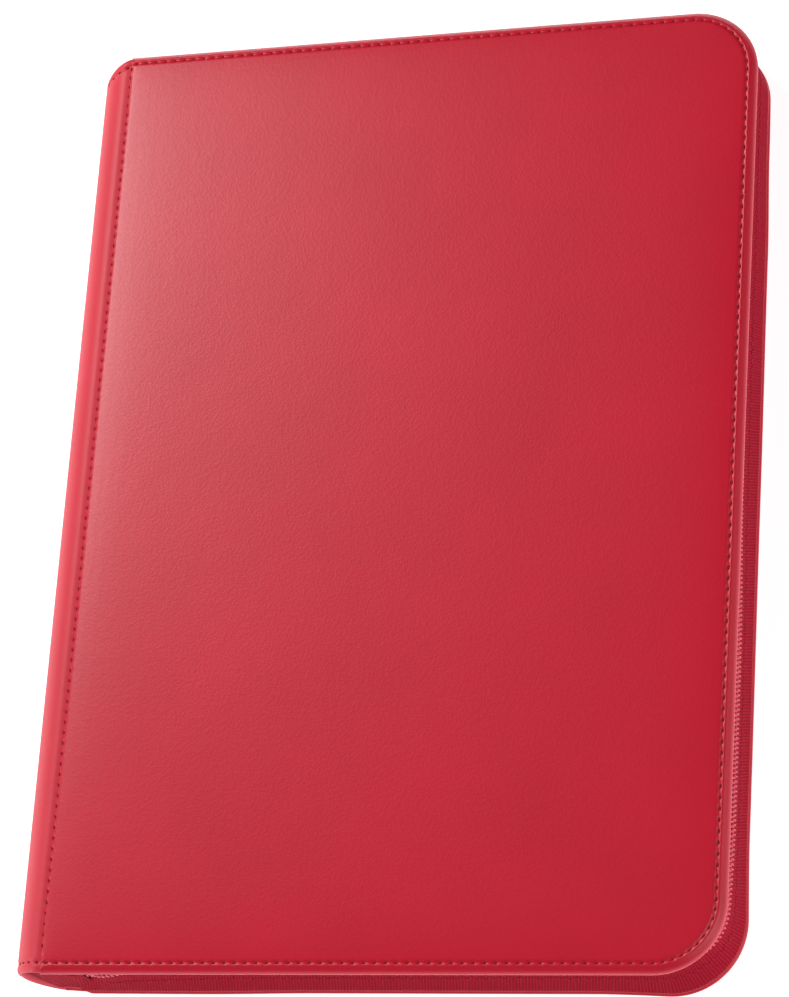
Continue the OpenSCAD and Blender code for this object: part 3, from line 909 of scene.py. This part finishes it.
def gusset_and_zip():
    """The gusset, both halves of the zip, and the cloth and zip ends beside the spine."""
    s0 = END_CLOTH_X - STITCH_X
    ribs = np.arange(s0, TOTAL_L - s0, GUSSET_RIB / 4)
    points, faces, along = gusset_wall(ribs, gusset_height(ribs), gusset_top_inset(ribs))
    wall = make("gusset_cloth", points, faces, GUSSET_CLOTH, along=along)
    place(wall, "back_cover", ["gusset"])
    points, faces = zigzag(s0 + 8, TOTAL_L - s0 - 8)
    place(make("gusset_zigzag_thread", points, faces, LIGHT_THREAD), "back_cover")
    back_s = ZIP_X - STITCH_X
    front_s = FRONT_TAPE_X - STITCH_X
    for side, start, body in (("back", back_s, "back_cover"), ("front", front_s, "front_cover")):
        front = side == "front"
        s = np.arange(start, TOTAL_L - start, 1.5)
        points, faces, along = tape(s, front)
        strip = make(f"zip_tape_{side}_cloth", points, faces, TAPE_CLOTH, along=along)
        place(strip, body, [f"zip_tape_{side}"])
        first = math.ceil(start / TOOTH_PITCH) * TOOTH_PITCH + (0.5 * TOOTH_PITCH if front else 0)
        s = np.arange(first, TOTAL_L - start - 0.5, TOOTH_PITCH)
        points, faces = teeth(s, front)
        place(make(f"zip_teeth_{side}", points, faces, COIL_NYLON), body, [f"zip_coil_{side}"])
    for end, mirror in (("top", 1.0), ("bottom", -1.0)):
        def turn(points):
            turned = np.array(points)
            turned[:, 1] *= mirror
            return turned
        points, faces, along = end_cloth(mirror < 0)
        cloth = make(f"zip_end_cloth_{end}", turn(points), faces, GUSSET_CLOTH, along=along)
        bend = ("back_cover", "spine", (SPINE_X + 2.0, 0, SPINE_R), (SPINE_X - 11.0, 0, SPINE_R))
        place(cloth, bend, [f"zip_end_tab_{end}"])
        s = np.linspace(back_s, front_s - 1.0, 12)
        points, faces, along = tape(s, True)
        points[:, 2] = np.minimum(points[:, 2], COVER_Z - 0.4)
        strip = make(f"zip_end_tape_{end}", turn(points), faces, TAPE_CLOTH, along=along)
        place(strip, "back_cover")
        first = math.ceil(back_s / TOOTH_PITCH) * TOOTH_PITCH + 0.5 * TOOTH_PITCH
        s = np.arange(first, front_s - 1.0, TOOTH_PITCH)
        points, faces = teeth(s, True)
        place(make(f"zip_end_teeth_{end}", turn(points), faces, COIL_NYLON), "back_cover")


# ---------------------------------------------------------------- pages

def page_face(width, height, cols, rows, bind):
    """Grid lines and pocket swell of one face of a page, from its bound edge."""
    def lines(start, cell, count, margin):
        out = []
        for k in range(count):
            a, b = start + k * cell, start + (k + 1) * cell
            out += [a + margin * f for f in (0.0, 0.5, 1.0, 1.6, 3.0, 7.0)]
            out += [(a + b) / 2 - cell * 0.2, (a + b) / 2, (a + b) / 2 + cell * 0.2]
            out += [b - margin * f for f in (7.0, 3.0, 1.6, 1.0, 0.5)]
        return out
    cell_x = (width - bind) / cols
    cell_y = height / rows
    x = np.array([0.0, bind * 0.3, bind * 0.7] + lines(bind, cell_x, cols, 1.2) + [width])
    y = np.array(lines(-height / 2, cell_y, rows, 1.2) + [height / 2])
    gx, gy = np.meshgrid(x, y, indexing="ij")
    ux = np.where(gx < bind, 0.0, np.mod(np.clip(gx - bind, 0, None), cell_x))
    uy = np.mod(gy + height / 2, cell_y)
    dx = np.minimum(ux, cell_x - ux) * (gx > bind) * (gx < width - 0.01)
    dy = np.minimum(uy, cell_y - uy) * (np.abs(gy) < height / 2 - 0.01)
    d = np.minimum(dx, dy)
    swell = np.clip((d - 0.6) / 1.4, 0, 1)
    weld = np.exp(-((d - 0.3) / 0.7) ** 2)
    return gx, gy, swell * swell * (3 - 2 * swell), weld


def page_mesh(low, high):
    """One page: a backing sheet with three by three pockets on each face, rounded at its free corners."""
    width, height, thick = high - low
    gx, gy, swell, weld = page_face(width, height, 3, 3, 11.0)
    corner = 3.5
    over_x = np.maximum(gx - (width - corner), 0)
    over_y = np.maximum(np.abs(gy) - (height / 2 - corner), 0)
    reach = np.hypot(over_x, over_y)
    pull = np.where(reach > corner, corner / np.maximum(reach, 1e-9), 1.0)
    gx = np.where((over_x > 0) & (over_y > 0), width - corner + over_x * pull, gx)
    gy = np.where((over_x > 0) & (over_y > 0), np.sign(gy) * (height / 2 - corner + over_y * pull), gy)
    half = thick / 2
    top = np.stack([gx, gy, 0.16 + (half - 0.18) * swell], -1)
    bottom = np.stack([gx, gy, -0.16 - (half - 0.18) * swell], -1)
    columns, rows = gx.shape
    verts = np.concatenate([top.reshape(-1, 3), bottom.reshape(-1, 3)])
    count = columns * rows
    faces = grid_faces(columns, rows) + [f[::-1] for f in grid_faces(columns, rows, first=count)]
    rim = [c * rows for c in range(columns)] + [(columns - 1) * rows + r for r in range(1, rows)]
    rim += [c * rows + rows - 1 for c in range(columns - 2, -1, -1)] + [r for r in range(rows - 2, 0, -1)]
    for a, b in zip(rim, rim[1:] + rim[:1]):
        faces.append([a, b, b + count, a + count])
    return verts, faces, np.concatenate([weld.ravel(), weld.ravel()])


def pages():
    """All pages, which share one mesh, and the margins that join them to the strip in the spine."""
    names = sorted(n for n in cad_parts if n.startswith("page_") and n[-2:].isdigit())
    shared = None
    attach = {"lower": [], "upper": []}
    for name in names:
        low, high = node_box(name)
        centre = Vector((low[0], 0, (low[2] + high[2]) / 2)) * MM
        if shared is None:
            points, faces, tint = page_mesh(low, high)
            piece = make(name.replace("page", "pocket_page"), points, faces, FILM, tint=tint)
            shared = piece.data
        else:
            piece = bpy.data.objects.new(name.replace("page", "pocket_page"), shared)
            bpy.context.scene.collection.objects.link(piece)
        piece.location = centre
        place(piece, name, [name])
        body = "lower" if (low[2] + high[2]) / 2 < SPINE_R else "upper"
        attach[body].append((low[0], (low[2] + high[2]) / 2, high[1]))
    r = SPINE_R - SPINE_WALL - 1.05
    for half, bodies in (("lower", ("back_cover", "spine")), ("upper", ("front_cover", "spine"))):
        verts, faces = [], []
        for x, z, reach in attach[half]:
            goal = SPINE_R + (z - SPINE_R) * 0.62
            goal_x = SPINE_X - math.sqrt(r ** 2 - (goal - SPINE_R) ** 2)
            for side in (0.12, -0.12):
                first = len(verts)
                for t in np.linspace(0, 1, 7):
                    px = (x + 0.6) * (1 - t) + goal_x * t
                    pz = z + (goal - z) * t ** 2 + side
                    verts += [[px, -reach + 0.5, pz], [px, reach - 0.5, pz]]
                faces += grid_faces(7, 2, first=first)
        margin = make(f"page_margins_{half}", verts, faces, FILM, tint=np.zeros(len(verts)))
        start = (attach[half][0][0] - 0.2, 0, SPINE_R)
        end = (SPINE_X - r, 0, SPINE_R)
        place(margin, (*bodies, start, end))


# ---------------------------------------------------------------- build

def same(points):
    """The front cover's points as they are."""
    return np.array(points, float).reshape(-1, 3)


cover("front", "front_cover", same, FRONT_BORDER, FRONT_CROWN, FRONT_RIM, 0.0)
cover("back", "back_cover", flip_z, BACK_BORDER, BACK_CROWN, BACK_RIM, 1.0)


def arc_point(degrees, depth=0.0):
    """The point at an angle round the spine's section, at a depth below its outer face."""
    a = math.radians(degrees)
    r = SPINE_R - depth
    return SPINE_X + r * math.cos(a), 0, SPINE_R + r * math.sin(a)


spine_half("upper", same, ("front_cover", "spine", arc_point(100), arc_point(170)),
           ("front_cover", "spine", arc_point(130, SPINE_WALL), arc_point(172, SPINE_WALL)))
spine_half("lower", flip_z, ("back_cover", "spine", arc_point(260), arc_point(190)),
           ("back_cover", "spine", arc_point(230, SPINE_WALL), arc_point(188, SPINE_WALL)))
gusset_and_zip()
pages()

STRIP = woven("binding_strip", linear(26, 26, 28), linear(48, 48, 52), 0.8)
CAD_LOOKS = {
    "front_board": BOARD, "back_board": BOARD, "page_binding_strip": STRIP,
    "zip_stop_top": NICKEL, "zip_stop_bottom": NICKEL,
    "zip_slider_body": NICKEL, "zip_slider_bridge": NICKEL, "zip_pull_tab": NICKEL,
}
for node, material in CAD_LOOKS.items():
    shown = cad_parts[node]
    shown.data.materials.clear()
    shown.data.materials.append(material)
    if material is NICKEL:
        rounded = shown.modifiers.new("rounded", "BEVEL")
        rounded.width = 0.22 * MM
        rounded.segments = 3
        rounded.limit_method = "ANGLE"


# ---------------------------------------------------------------- floor, light and camera

def floor():
    """A plain white floor that glows a little, so that it stays white in the shade."""
    mesh = bpy.data.meshes.new("floor")
    reach = 4.0
    corners = [(-reach, -reach, 0), (reach, -reach, 0), (reach, reach, 0), (-reach, reach, 0)]
    mesh.from_pydata(corners, [], [[0, 1, 2, 3]])
    pale = Surface("floor_white", Roughness=0.7)
    pale.drive("Base Color", pale.mix(pale.noise(400.0, 2.0), (0.93, 0.93, 0.93, 1), (0.95, 0.95, 0.95, 1)))
    pale.shader.inputs["Emission Color"].default_value = (1, 1, 1, 1)
    pale.shader.inputs["Emission Strength"].default_value = 0.6
    mesh.materials.append(pale.material)
    plane = bpy.data.objects.new("floor", mesh)
    bpy.context.scene.collection.objects.link(plane)
    plane.location.z = -0.0002


def area_light(name, place_at, aim, size, power, colour=(1, 1, 1)):
    light = bpy.data.lights.new(name, "AREA")
    light.shape = "RECTANGLE"
    light.size, light.size_y = size
    light.energy = power
    light.color = colour
    lamp = bpy.data.objects.new(name, light)
    lamp.location = place_at
    lamp.rotation_euler = (Vector(aim) - Vector(place_at)).to_track_quat("-Z", "Y").to_euler()
    bpy.context.scene.collection.objects.link(lamp)


def camera():
    """The main view: seen from the lower right, with the camera rolled so that the spine stands upright."""
    azimuth, elevation, roll = (math.radians(a) for a in (41.14, 63.4, 40.27))
    distance, aim, lens = 1.243, Vector((-0.0011, -0.0012, 0.0145)), 128.9
    back = Vector((math.sin(azimuth) * math.cos(elevation), -math.cos(azimuth) * math.cos(elevation),
                   math.sin(elevation)))
    right = Vector((math.cos(azimuth), math.sin(azimuth), 0))
    up = back.cross(right)
    turned_up = up * math.cos(roll) + right * math.sin(roll)
    turned_right = turned_up.cross(back)
    data = bpy.data.cameras.new("camera")
    data.sensor_width = 36.0
    data.lens = lens
    data.clip_start, data.clip_end = 0.05, 50.0
    cam = bpy.data.objects.new("camera", data)
    cam.matrix_world = Matrix.Translation(aim + back * distance) @ Matrix(
        (turned_right, turned_up, back)).transposed().to_4x4()
    bpy.context.scene.collection.objects.link(cam)
    bpy.context.scene.camera = cam


floor()
camera()
area_light("key", (-0.85, 0.68, 1.0), (0, 0, 0), (0.55, 0.55), 15.8)
area_light("left", (-1.5, -0.5, 0.8), (0, 0, 0), (1.2, 1.0), 18.0)
area_light("front", (1.05, -0.8, 1.0), (0, 0, 0), (1.2, 1.0), 8.2)
area_light("right", (1.3, -0.2, 0.7), (0, 0, 0), (1.2, 0.8), 7.0)
world = bpy.data.worlds.new("studio")
world.use_nodes = True
world.node_tree.nodes["Background"].inputs["Color"].default_value = (1, 1, 1, 1)
world.node_tree.nodes["Background"].inputs["Strength"].default_value = 0.1
bpy.context.scene.world = world
bpy.context.scene.view_settings.view_transform = "Standard"
